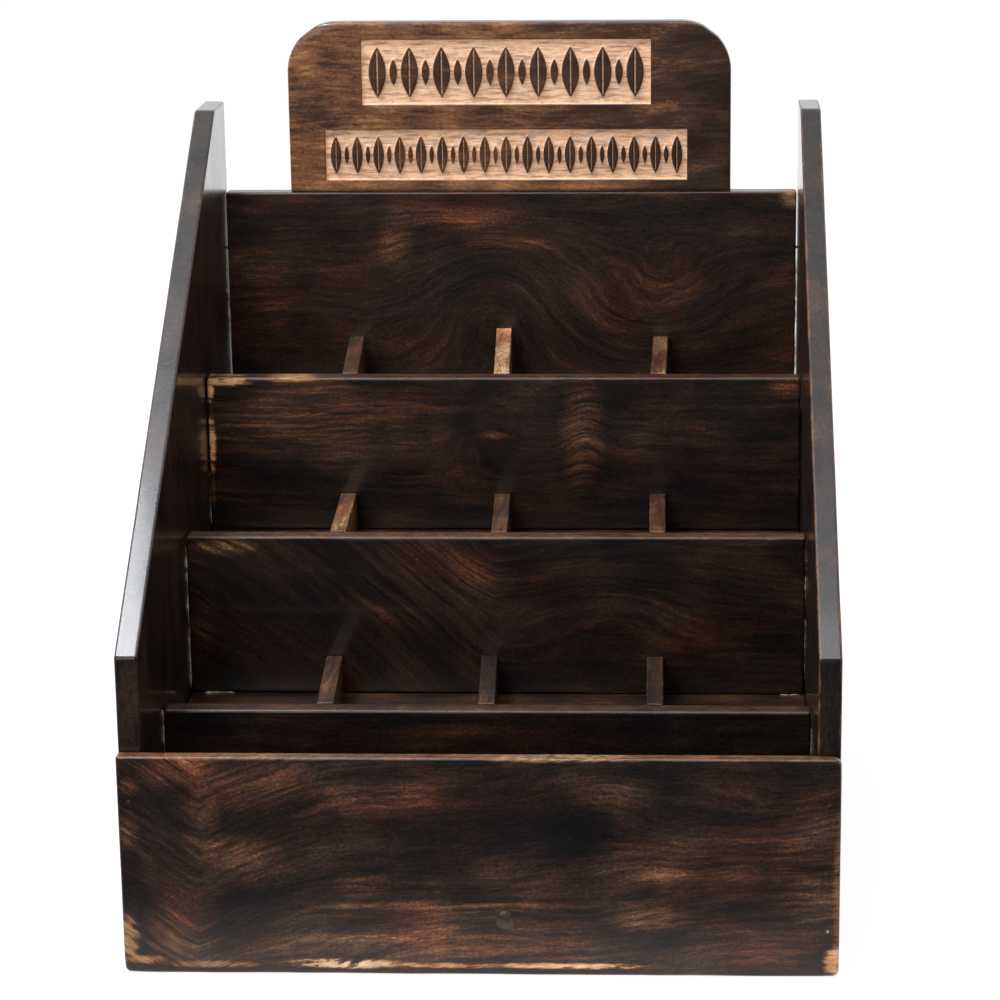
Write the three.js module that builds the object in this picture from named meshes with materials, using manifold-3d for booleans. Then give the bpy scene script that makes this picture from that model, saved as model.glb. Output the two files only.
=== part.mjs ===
// A stepped counter rack for nail polish, built from dark-stained solid wood boards.
// Millimetres, +Z up, +Y from the front board to the back panel.

import * as THREE from 'three';
import { mergeVertices } from 'three/addons/utils/BufferGeometryUtils.js';
import Module from 'manifold-3d';

const wasm = await Module();
wasm.setup();

// Driving dimensions.
const rackWidth = 360;
const boardThickness = 12;
const frontBoardThickness = 8;
const stripThickness = 9;
const jointGap = 0.3;

const sideDepth = 361;
const sideHeight = 391;
const sideFrontHeight = 164.5;
const sideFlatTop = 39;

const frontBoardHeight = 115.6;
const frontCornerRadius = 2.5;
const baseRise = 24;

const firstBinDepth = 64;
const tierPitch = 93;
const firstLipHeight = 115.6;
const lipRise = 67;
const tierNames = ['front', 'middle', 'rear'];
const pocketDepth = 22;
const backPanelHeight = 338.6;

const headerWidth = 258;
const headerHeight = 98.9;
const headerCornerRadius = 29;
const carvingDepth = 2;
const upperField = {
  x: -1.6, z: 408.8, width: 168.6, height: 38.2,
  leaves: 9, tallLeaf: { width: 11, height: 31 }, shortLeaf: { width: 5.4, height: 17 },
};
const lowerField = {
  x: -2.1, z: 360.6, width: 211.8, height: 30,
  leaves: 17, tallLeaf: { width: 7.2, height: 24 }, shortLeaf: { width: 3.6, height: 13 },
};
const cornerSegments = 4;
const shoulderSegments = 12;
const leafSegments = 5;

// Each tier's dividers: centre at the lip, sideways drift to the back, rise of the top to the back.
const dividerEndGap = 0.6;
const dividers = {
  front: {
    left: { x: -84.8, drift: -3.6, rise: 0 },
    center: { x: -0.6, drift: -3.2, rise: 0.6 },
    right: { x: 87.0, drift: -0.5, rise: 0.2 },
  },
  middle: {
    left: { x: -86.2, drift: -2.4, rise: 0 },
    center: { x: 1.6, drift: -2.4, rise: 0 },
    right: { x: 87.6, drift: -0.5, rise: 0 },
  },
  rear: {
    left: { x: -87.5, drift: -4.6, rise: 3 },
    center: { x: -1.4, drift: -3.2, rise: 8 },
    right: { x: 87.4, drift: 0.8, rise: 3 },
  },
};

const bradRadius = 1;
const bradLength = 32;
const bradHoleRadius = 1.3;
const bradSides = 10;
const baseBradDepths = [0.28, 0.78]; // shares of the sides' depth
const backBradHeights = [0.4, 0.9]; // shares of the back panel's height
const riserBradDrops = [15, 58]; // below each riser's lip
const frontBradHeights = { low: 25, high: 92 };
const dowelRadius = 3;
const dowelLength = 30;
const dowelX = 80;
const dowelHoleRadius = 3.3;
const dowelSides = 16;
const screw = { x: 13, headRadius: 2.7, headHeight: 1.6, shankRadius: 1.75, length: 28, tip: 4 };
const plug = { radius: 5, length: 3 };
const screwSides = 16;
const drillOverrun = 1;

// Worked out from the dimensions above, with the sides' front edges at y = 0.
const innerWidth = rackWidth - 2 * boardThickness;
const boardWidth = innerWidth - 2 * jointGap;
const backPanelFront = sideDepth - boardThickness;
const backPanelMiddle = backPanelFront + boardThickness / 2;
const baseTop = baseRise + boardThickness;
const baseMiddle = baseRise + boardThickness / 2;
const riserFront = (tier) => firstBinDepth + tier * tierPitch;
const riserBack = (tier) => riserFront(tier) + boardThickness;
const lipHeight = (tier) => firstLipHeight + tier * lipRise;
const treadTop = (tier) => lipHeight(tier) - pocketDepth;
const sideMiddleX = (rackWidth - boardThickness) / 2;
const frontBoardMiddleY = -frontBoardThickness / 2 - jointGap;
const frontFace = frontBoardMiddleY - frontBoardThickness / 2;

const axisX = new THREE.Vector3(1, 0, 0);
const axisY = new THREE.Vector3(0, 1, 0);
const axisZ = new THREE.Vector3(0, 0, 1);

// Materials.
function darkWood(color) {
  return new THREE.MeshStandardMaterial({ color, roughness: 0.35, metalness: 0 });
}

function paleWood(color) {
  return new THREE.MeshStandardMaterial({ color, roughness: 0.7, metalness: 0 });
}

function steel() {
  return new THREE.MeshStandardMaterial({ color: 0x8a8a86, roughness: 0.4, metalness: 1 });
}

const sideWood = darkWood(0x2a1c17);
const boardWood = darkWood(0x301c12);
const headerWood = darkWood(0x5a3218);
const dividerWood = darkWood(0x6a4a30);
const dowelWood = paleWood(0xc8a878);
const bradSteel = steel();

// Solids for cutting.
function toSolid(geometry) {
  const bare = geometry.clone();
  bare.deleteAttribute('normal');
  bare.deleteAttribute('uv');
  const merged = mergeVertices(bare, 1e-4);
  const vertProperties = new Float32Array(merged.attributes.position.array);
  const triVerts = new Uint32Array(merged.index.array);
  return new wasm.Manifold(new wasm.Mesh({ numProp: 3, vertProperties, triVerts }));
}

function toGeometry(solid) {
  const mesh = solid.getMesh();
  const geometry = new THREE.BufferGeometry();
  geometry.setAttribute('position', new THREE.BufferAttribute(mesh.vertProperties, 3));
  geometry.setIndex(new THREE.BufferAttribute(mesh.triVerts, 1));
  geometry.computeVertexNormals();
  return geometry;
}

// A cylinder that starts at a point and runs along a direction.
function rod(radius, length, sides, start, direction) {
  const geometry = new THREE.CylinderGeometry(radius, radius, length, sides);
  geometry.translate(0, length / 2, 0);
  geometry.applyQuaternion(new THREE.Quaternion().setFromUnitVectors(axisY, direction));
  geometry.translate(start.x, start.y, start.z);
  return geometry;
}

// Fasteners, each with the hole it sits in.
const fasteners = [];
const drillings = [];

function addBrad(name, start, direction) {
  const sunk = start.clone().addScaledVector(direction, jointGap);
  const mouth = start.clone().addScaledVector(direction, -drillOverrun);
  const holeLength = bradLength + drillOverrun + 2 * jointGap;
  fasteners.push({
    name,
    geometry: rod(bradRadius, bradLength, bradSides, sunk, direction),
    material: bradSteel,
  });
  drillings.push(toSolid(rod(bradHoleRadius, holeLength, bradSides, mouth, direction)));
}

// Brads through each side into the risers, the back panel and the base.
function addSideBrads() {
  const inBase = baseBradDepths.map((share) => ({ y: sideDepth * share, z: baseMiddle }));
  const inBack = backBradHeights.map((share) => ({ y: backPanelMiddle, z: backPanelHeight * share }));
  const inRisers = tierNames.flatMap((tierName, tier) => riserBradDrops.map((drop) => ({
    y: riserFront(tier) + boardThickness / 2,
    z: lipHeight(tier) - drop,
  })));
  const targets = [...inBase, ...inBack, ...inRisers];
  for (const [sideName, sign] of [['left', -1], ['right', 1]]) {
    const inward = axisX.clone().multiplyScalar(-sign);
    targets.forEach(({ y, z }, index) => {
      const start = new THREE.Vector3((sign * rackWidth) / 2, y, z);
      addBrad(`brad_${sideName}_${index + 1}`, start, inward);
    });
  }
}

// Brads through the front board into the sides' front edges.
function addFrontBrads() {
  for (const [sideName, sign] of [['left', -1], ['right', 1]]) {
    for (const [levelName, z] of Object.entries(frontBradHeights)) {
      const start = new THREE.Vector3(sign * sideMiddleX, frontFace, z);
      addBrad(`brad_front_${sideName}_${levelName}`, start, axisY);
    }
  }
}

// One screw through the front board into the base, hidden under a wooden plug.
function addFrontScrew() {
  const face = new THREE.Vector3(screw.x, frontFace, baseMiddle);
  const headSeat = plug.length + screw.headHeight + 2 * jointGap;
  const profile = [
    new THREE.Vector2(0, 0),
    new THREE.Vector2(screw.headRadius, 0),
    new THREE.Vector2(screw.headRadius, screw.headHeight),
    new THREE.Vector2(screw.shankRadius, screw.headHeight),
    new THREE.Vector2(screw.shankRadius, screw.length - screw.tip),
    new THREE.Vector2(0, screw.length),
  ];
  const body = new THREE.LatheGeometry(profile, screwSides);
  body.translate(face.x, face.y + plug.length + jointGap, face.z);
  fasteners.push({ name: 'front_screw', geometry: body, material: bradSteel });
  fasteners.push({
    name: 'front_plug',
    geometry: rod(plug.radius, plug.length, screwSides, face, axisY),
    material: boardWood,
  });
  const mouth = face.clone().addScaledVector(axisY, -drillOverrun);
  const boreRadius = plug.radius + jointGap;
  const pilotRadius = screw.shankRadius + jointGap;
  const pilotLength = drillOverrun + plug.length + screw.length + 3 * jointGap;
  drillings.push(toSolid(rod(boreRadius, drillOverrun + headSeat, screwSides, mouth, axisY)));
  drillings.push(toSolid(rod(pilotRadius, pilotLength, screwSides, mouth, axisY)));
}

// Dowels that hold the header on the back panel's top edge.
function addHeaderDowels() {
  const bottom = backPanelHeight + jointGap / 2 - dowelLength / 2;
  for (const [sideName, sign] of [['left', -1], ['right', 1]]) {
    const start = new THREE.Vector3(sign * dowelX, backPanelMiddle, bottom);
    const holeStart = start.clone().addScaledVector(axisZ, -jointGap);
    const holeLength = dowelLength + 2 * jointGap;
    fasteners.push({
      name: `header_dowel_${sideName}`,
      geometry: rod(dowelRadius, dowelLength, dowelSides, start, axisZ),
      material: dowelWood,
    });
    drillings.push(toSolid(rod(dowelHoleRadius, holeLength, dowelSides, holeStart, axisZ)));
  }
}

addSideBrads();
addFrontBrads();
addFrontScrew();
addHeaderDowels();
const allDrillings = wasm.Manifold.union(drillings);

const rack = new THREE.Group();

// Adds a piece to the rack with its fastener holes cut.
function addPiece(name, geometry, material, x, y, z) {
  const placed = toSolid(geometry).translate([x, y, z]);
  const cut = placed.subtract(allDrillings).translate([-x, -y, -z]);
  const mesh = new THREE.Mesh(toGeometry(cut), material);
  mesh.name = name;
  mesh.position.set(x, y, z);
  rack.add(mesh);
  return mesh;
}

function plainBoard(name, material, low, high) {
  const size = high.clone().sub(low);
  const middle = low.clone().add(high).multiplyScalar(0.5);
  const geometry = new THREE.BoxGeometry(size.x, size.y, size.z);
  return addPiece(name, geometry, material, middle.x, middle.y, middle.z);
}

// Board cut from an outline in the YZ plane, centred on its thickness along X.
function profileAcross(points, thickness) {
  const shape = new THREE.Shape(points.map(([y, z]) => new THREE.Vector2(y, z)));
  const geometry = new THREE.ExtrudeGeometry(shape, { depth: thickness, bevelEnabled: false });
  geometry.translate(0, 0, -thickness / 2);
  return geometry.applyMatrix4(new THREE.Matrix4().makeBasis(axisY, axisZ, axisX));
}

// Board cut from an outline in the XZ plane, centred on its thickness along Y.
function profileFacing(shape, thickness, curveSegments) {
  const options = { depth: thickness, bevelEnabled: false, curveSegments };
  const geometry = new THREE.ExtrudeGeometry(shape, options);
  geometry.translate(0, 0, -thickness / 2);
  return geometry.applyMatrix4(new THREE.Matrix4().makeRotationX(Math.PI / 2));
}

function addSides() {
  const outline = [
    [0, 0],
    [sideDepth, 0],
    [sideDepth, sideHeight],
    [sideDepth - sideFlatTop, sideHeight],
    [0, sideFrontHeight],
  ];
  for (const [sideName, sign] of [['left', -1], ['right', 1]]) {
    const geometry = profileAcross(outline, boardThickness);
    addPiece(`side_${sideName}`, geometry, sideWood, sign * sideMiddleX, 0, 0);
  }
}

function addFrontBoard() {
  const half = rackWidth / 2;
  const shape = new THREE.Shape();
  shape.moveTo(-half, 0);
  shape.lineTo(half, 0);
  shape.lineTo(half, frontBoardHeight - frontCornerRadius);
  shape.absarc(
    half - frontCornerRadius, frontBoardHeight - frontCornerRadius,
    frontCornerRadius, 0, Math.PI / 2, false,
  );
  shape.lineTo(-half, frontBoardHeight);
  shape.closePath();
  const geometry = profileFacing(shape, frontBoardThickness, cornerSegments);
  addPiece('front_board', geometry, boardWood, 0, frontBoardMiddleY, 0);
}

function addBaseBoard() {
  const low = new THREE.Vector3(-boardWidth / 2, 0, baseRise);
  const high = new THREE.Vector3(boardWidth / 2, backPanelFront - jointGap, baseTop);
  plainBoard('base_board', boardWood, low, high);
}

function addBackPanel() {
  const low = new THREE.Vector3(-boardWidth / 2, backPanelFront, 0);
  const high = new THREE.Vector3(boardWidth / 2, sideDepth, backPanelHeight);
  plainBoard('back_panel', boardWood, low, high);
}

// A riser stands on the tread of the tier in front of it, and the first one on the base.
function addRiser(tier) {
  const foot = tier === 0 ? baseTop : treadTop(tier - 1);
  const low = new THREE.Vector3(-boardWidth / 2, riserFront(tier), foot + jointGap);
  const high = new THREE.Vector3(boardWidth / 2, riserBack(tier), lipHeight(tier));
  plainBoard(`riser_${tierNames[tier]}`, boardWood, low, high);
}

// A tread runs from its riser's back to the back of the next riser, or to the back panel.
function addTread(tier) {
  const isLast = tier === tierNames.length - 1;
  const end = isLast ? backPanelFront - jointGap : riserBack(tier + 1);
  const top = treadTop(tier);
  const low = new THREE.Vector3(-boardWidth / 2, riserBack(tier) + jointGap, top - stripThickness);
  const high = new THREE.Vector3(boardWidth / 2, end, top);
  plainBoard(`tread_${tierNames[tier]}`, boardWood, low, high);
}

// Dividers stand on the tread, from the lip's back to the face of the board behind.
function addDividers(tier) {
  const isLast = tier === tierNames.length - 1;
  const start = riserBack(tier) + dividerEndGap;
  const end = (isLast ? backPanelFront : riserFront(tier + 1)) - dividerEndGap;
  const length = end - start;
  const height = pocketDepth - jointGap;
  for (const [place, divider] of Object.entries(dividers[tierNames[tier]])) {
    const outline = [
      [-length / 2, 0],
      [length / 2, 0],
      [length / 2, height + divider.rise],
      [-length / 2, height],
    ];
    const mesh = addPiece(
      `divider_${tierNames[tier]}_${place}`, profileAcross(outline, stripThickness), dividerWood,
      divider.x + divider.drift / 2, (start + end) / 2, treadTop(tier) + jointGap,
    );
    mesh.rotation.z = -Math.atan2(divider.drift, length);
  }
}

// Pointed oval, taller than wide.
function leafShape(x, z, { width, height }) {
  const shape = new THREE.Shape();
  shape.moveTo(x, z - height / 2);
  shape.quadraticCurveTo(x + width, z, x, z + height / 2);
  shape.quadraticCurveTo(x - width, z, x, z - height / 2);
  return shape;
}

// Row of tall leaves that stay raised inside a sunk field, with a short leaf between each two.
function ornamentRow(field) {
  const shapes = [];
  const pitch = field.width / field.leaves;
  for (let index = 0; index < field.leaves; index += 1) {
    const x = field.x + (index - (field.leaves - 1) / 2) * pitch;
    shapes.push(leafShape(x, field.z, field.tallLeaf));
    if (index < field.leaves - 1) {
      shapes.push(leafShape(x + pitch / 2, field.z, field.shortLeaf));
    }
  }
  return shapes;
}

// What is cut away in a field. Its slabs are centred on the face, so half of each lies in the board.
function carving(field) {
  const half = { width: field.width / 2, height: field.height / 2 };
  const outline = new THREE.Shape([
    new THREE.Vector2(field.x - half.width, field.z - half.height),
    new THREE.Vector2(field.x + half.width, field.z - half.height),
    new THREE.Vector2(field.x + half.width, field.z + half.height),
    new THREE.Vector2(field.x - half.width, field.z + half.height),
  ]);
  const sunk = toSolid(profileFacing(outline, 2 * carvingDepth, 1));
  const leafDepth = 3 * carvingDepth;
  const raised = ornamentRow(field).map(
    (shape) => toSolid(profileFacing(shape, leafDepth, leafSegments)),
  );
  return sunk.subtract(wasm.Manifold.union(raised));
}

// Header with rounded shoulders and two sunk fields, each with a row of raised leaves.
function addHeader() {
  const half = headerWidth / 2;
  const shoulder = headerHeight - headerCornerRadius;
  const shape = new THREE.Shape();
  shape.moveTo(-half, 0);
  shape.lineTo(half, 0);
  shape.lineTo(half, shoulder);
  shape.absarc(half - headerCornerRadius, shoulder, headerCornerRadius, 0, Math.PI / 2, false);
  shape.lineTo(-half + headerCornerRadius, headerHeight);
  shape.absarc(
    -half + headerCornerRadius, shoulder, headerCornerRadius, Math.PI / 2, Math.PI, false,
  );
  shape.closePath();
  const bottom = backPanelHeight + jointGap;
  const fields = carving(upperField).add(carving(lowerField));
  const blank = toSolid(profileFacing(shape, boardThickness, shoulderSegments));
  const cut = blank.subtract(fields.translate([0, -boardThickness / 2, -bottom]));
  addPiece('header_board', toGeometry(cut), headerWood, 0, backPanelMiddle, bottom);
}

function addFasteners() {
  for (const { name, geometry, material } of fasteners) {
    geometry.computeBoundingBox();
    const middle = geometry.boundingBox.getCenter(new THREE.Vector3());
    geometry.translate(-middle.x, -middle.y, -middle.z);
    const mesh = new THREE.Mesh(geometry, material);
    mesh.name = name;
    mesh.position.copy(middle);
    rack.add(mesh);
  }
}

addSides();
addFrontBoard();
addBaseBoard();
addBackPanel();
tierNames.forEach((tierName, tier) => {
  addRiser(tier);
  addTread(tier);
  addDividers(tier);
});
addHeader();
addFasteners();

// The origin is the middle of the footprint, on the surface the rack stands on.
rack.position.y = -(sideDepth + frontFace) / 2;

const object = new THREE.Group();
object.add(rack);
export default object;
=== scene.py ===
import math

import bmesh
import bpy
import numpy as np
from mathutils import Matrix, Vector, noise


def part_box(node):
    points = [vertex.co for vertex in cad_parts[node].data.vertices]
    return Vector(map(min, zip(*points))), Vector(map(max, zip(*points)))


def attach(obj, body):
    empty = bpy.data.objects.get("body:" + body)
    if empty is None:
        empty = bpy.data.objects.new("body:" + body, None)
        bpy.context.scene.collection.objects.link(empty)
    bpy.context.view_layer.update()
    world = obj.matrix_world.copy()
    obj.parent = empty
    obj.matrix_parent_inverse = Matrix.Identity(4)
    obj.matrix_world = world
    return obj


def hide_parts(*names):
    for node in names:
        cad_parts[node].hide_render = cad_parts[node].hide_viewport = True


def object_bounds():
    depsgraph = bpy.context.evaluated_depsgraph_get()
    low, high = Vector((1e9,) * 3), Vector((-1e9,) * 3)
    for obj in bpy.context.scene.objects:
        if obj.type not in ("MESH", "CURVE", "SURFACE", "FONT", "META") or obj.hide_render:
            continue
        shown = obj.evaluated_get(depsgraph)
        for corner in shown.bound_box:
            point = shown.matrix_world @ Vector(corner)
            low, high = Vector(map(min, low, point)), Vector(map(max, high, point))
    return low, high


# Stepped counter rack for nail polish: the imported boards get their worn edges, grain, stain and lacquer.
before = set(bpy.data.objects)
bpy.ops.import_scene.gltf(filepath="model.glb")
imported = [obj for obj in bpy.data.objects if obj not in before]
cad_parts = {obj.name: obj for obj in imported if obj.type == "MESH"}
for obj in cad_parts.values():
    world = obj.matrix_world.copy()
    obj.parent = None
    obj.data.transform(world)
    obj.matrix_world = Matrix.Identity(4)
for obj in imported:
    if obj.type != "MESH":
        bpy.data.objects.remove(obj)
cadLow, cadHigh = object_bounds()
scene = bpy.context.scene
mm = 0.001
perMetre = 1000
print("frame loaded:", len(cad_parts), "nodes")


class Wire:  # one socket's value, so that shader sums read as plain sums
    def __init__(self, graph, made, output):
        self.graph = graph
        self.made = made
        self.socket = made.outputs[output] if made.outputs else None

    def take(self, output):
        return Wire(self.graph, self.made, output)

    def sum(self, operation, first, second=0.0):
        return self.graph.node("ShaderNodeMath", {"operation": operation}, {0: first, 1: second})

    def __add__(self, other):
        return self.sum("ADD", self, other)

    def __radd__(self, other):
        return self.sum("ADD", other, self)

    def __sub__(self, other):
        return self.sum("SUBTRACT", self, other)

    def __rsub__(self, other):
        return self.sum("SUBTRACT", other, self)

    def __mul__(self, other):
        return self.sum("MULTIPLY", self, other)

    def __rmul__(self, other):
        return self.sum("MULTIPLY", other, self)

    def __truediv__(self, other):
        return self.sum("DIVIDE", self, other)

    def __neg__(self):
        return self.sum("MULTIPLY", self, -1.0)

    def __abs__(self):
        return self.sum("ABSOLUTE", self)

    def least(self, other):
        return self.sum("MINIMUM", self, other)

    def most(self, other):
        return self.sum("MAXIMUM", self, other)

    def held(self):  # kept between 0 and 1
        return self.most(0.0).least(1.0)

    def exp(self):
        return self.sum("EXPONENT", self)

    def root(self):
        return self.sum("SQRT", self)

    def fraction(self):
        return self.sum("FRACT", self)


class Graph:
    def __init__(self, tree):
        self.tree = tree
        tree.nodes.clear()

    def node(self, kind, settings=None, sockets=None, output=0):
        made = self.tree.nodes.new(kind)
        for key, value in (settings or {}).items():
            if key == "stops":
                fillRamp(made.color_ramp, value)
            else:
                setattr(made, key, value)
        for key, value in (sockets or {}).items():
            if isinstance(value, Wire):
                self.tree.links.new(value.socket, made.inputs[key])
            else:
                made.inputs[key].default_value = value
        return Wire(self, made, output)

    def blend(self, mask, first, second, how="MIX"):
        settings = {"data_type": "RGBA", "blend_type": how}
        return self.node("ShaderNodeMix", settings, {0: mask, 6: first, 7: second}, 2)

    def mottle(self, along, across, depth, detail=2.0, rough=0.5):
        where = self.node("ShaderNodeCombineXYZ", None, {0: along, 1: across, 2: depth})
        sockets = {"Vector": where, "Scale": 1.0, "Detail": detail, "Roughness": rough}
        return self.node("ShaderNodeTexNoise", None, sockets)

    def bump(self, height, distance, strength=1.0):
        sockets = {"Height": height, "Distance": distance, "Strength": strength}
        return self.node("ShaderNodeBump", None, sockets)

    def layer(self, sizes, where, shifts, detail=2.0, rough=0.5):
        # noise with a patch size and a shift for each direction
        spread = [at / size + shift if shift else at / size for at, size, shift in zip(where, sizes, shifts)]
        return self.mottle(*spread, detail, rough)

    def places(self):  # position in the rack's frame, in metres
        where = self.node("ShaderNodeTexCoord", output="Object")
        split = self.node("ShaderNodeSeparateXYZ", None, {0: where})
        return {"x": split, "y": split.take(1), "z": split.take(2)}


def fillRamp(ramp, stops):
    first, last = stops[0], stops[-1]
    ramp.elements[0].position = first[0]
    ramp.elements[0].color = (*first[1], 1)
    ramp.elements[1].position = last[0]
    ramp.elements[1].color = (*last[1], 1)
    for position, colour in stops[1:-1]:
        ramp.elements.new(position).color = (*colour, 1)


def newMaterial(name):
    material = bpy.data.materials.new(name)
    material.use_nodes = True
    return material, Graph(material.node_tree)


def finishSurface(g, sockets):
    surface = g.node("ShaderNodeBsdfPrincipled", None, sockets)
    g.node("ShaderNodeOutputMaterial", None, {"Surface": surface})


# Dark stained rosewood, from the blackest stain to bare rubbed wood.
stain = {
    "stops": [
        (0.00, (0.0026, 0.0025, 0.0027)),
        (0.22, (0.0080, 0.0056, 0.0048)),
        (0.40, (0.0300, 0.0128, 0.0076)),
        (0.55, (0.0820, 0.0310, 0.0130)),
        (0.70, (0.1900, 0.0800, 0.0290)),
        (0.84, (0.4500, 0.2350, 0.1000)),
        (1.00, (0.8200, 0.5600, 0.3500)),
    ],
    "redTint": (1.30, 0.90, 0.80, 1),
    "coolTint": (0.88, 1.0, 1.08, 1),
    # painted cool sheen: a bluish tint multiplied onto the top faces
    "topTint": (0.80, 0.93, 1.12, 1),
    "roughness": 0.30,
    "coat": 0.35,
    "coatRoughness": 0.09,
    "sheenLevel": 0.42,
}

plainLook = {
    "seed": 1.0,
    "tone": 0.26,        # how light the board is, on the stain's scale
    "streaks": 0.34,
    "rings": 0.08,
    "fibre": 0.17,
    "flecks": 0.10,
    "blotches": 0.30,
    "mottling": 0.58,
    "ringGap": 9.0,
    "heart": (180.0, 60.0, 0.10),
    "wander": 5.0,
    "ripple": 3.0,
    "bends": [],         # (along, height, reach, side): beyond this place the grain sweeps up
    "eyes": [],          # (along, across, push, half length, half height)
    "glow": [],          # (along, across, half length, half height, lift)
    "rubbed": [],        # (along, across, half length, half height, tone, amount)
    "edgeWidth": 2.6,
    "edgeWear": 1.42,    # lower shows more bare wood along the edges
    "edgeTone": 0.66,
    "top": (0.5, 0.0),   # tone of the top edge, partly rubbed bare wood and partly a painted sheen, and how much of it is lightened
    "bareTint": (1.0, 1.0, 1.0, 1),
    "redFrom": 0.42,     # higher keeps the stain from turning red
    "gloss": 0.0,
}
bendSoftness = 0.32     # of the reach
bendSway = 16.0         # mm that a bend's crease strays
poreShare = 0.66        # higher leaves fewer pores
grainDepth = 0.8
figure = {              # mm along the grain, across it and into the board of one patch of each layer
    "broad": (95, 48, 60), "ripple": (24, 9, 20), "sway": (60, 60, 1), "streak": (46, 3.0, 5),
    "fleck": (6, 1.4, 2), "fibre": (7, 0.65, 0.9), "grit": (1.8, 1.5, 2), "pore": (2.6, 0.34, 0.34),
    "cloud": (46, 24, 40), "tinge": (70, 40, 40), "scuff": (16, 16, 12),
}


def patch(along, across, spot):
    a = (along - spot[0]) / spot[2]
    c = (across - spot[1]) / spot[3]
    return a * a + c * c


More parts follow.
